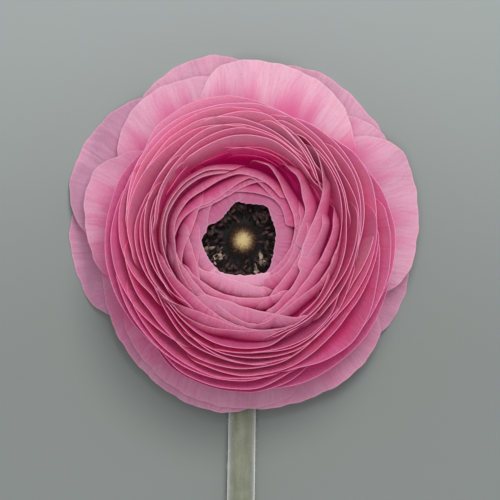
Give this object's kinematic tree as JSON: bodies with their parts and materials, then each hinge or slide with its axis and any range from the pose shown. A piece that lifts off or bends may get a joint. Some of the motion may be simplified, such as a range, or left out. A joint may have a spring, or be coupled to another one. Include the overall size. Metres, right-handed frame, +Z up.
{
  "type": "cut ranunculus flower",
  "caption": "Cut ranunculus lying down with its bent neck turning the full pink bloom upwards, dark eye with a cream dome, and a slender grey-green stem",
  "frame": {"origin": "middle of the bounding box's base, on the surface that the flower lies on", "axes": "+Z up out of the surface, which is also where the bloom looks; the bloom lies towards +Y and the stem runs back along -Y"},
  "size_m": [0.0946, 0.2594, 0.041],
  "materials": {
    "stem_green": "satin",
    "sepal_green": "matte",
    "pale_pink_petal": "matte",
    "deep_pink_petal": "matte",
    "mauve_pink_petal": "matte",
    "stamen_black": "matte",
    "carpel_cream": "matte"
  },
  "bodies": {
    "root": {"stem": "stem_green", "calyx": "sepal_green", "guard_petals": "pale_pink_petal", "cup_petals": "deep_pink_petal", "bud_petals": "mauve_pink_petal", "stamens": "stamen_black", "carpel_head": "carpel_cream"}
  },
  "joints": []
}
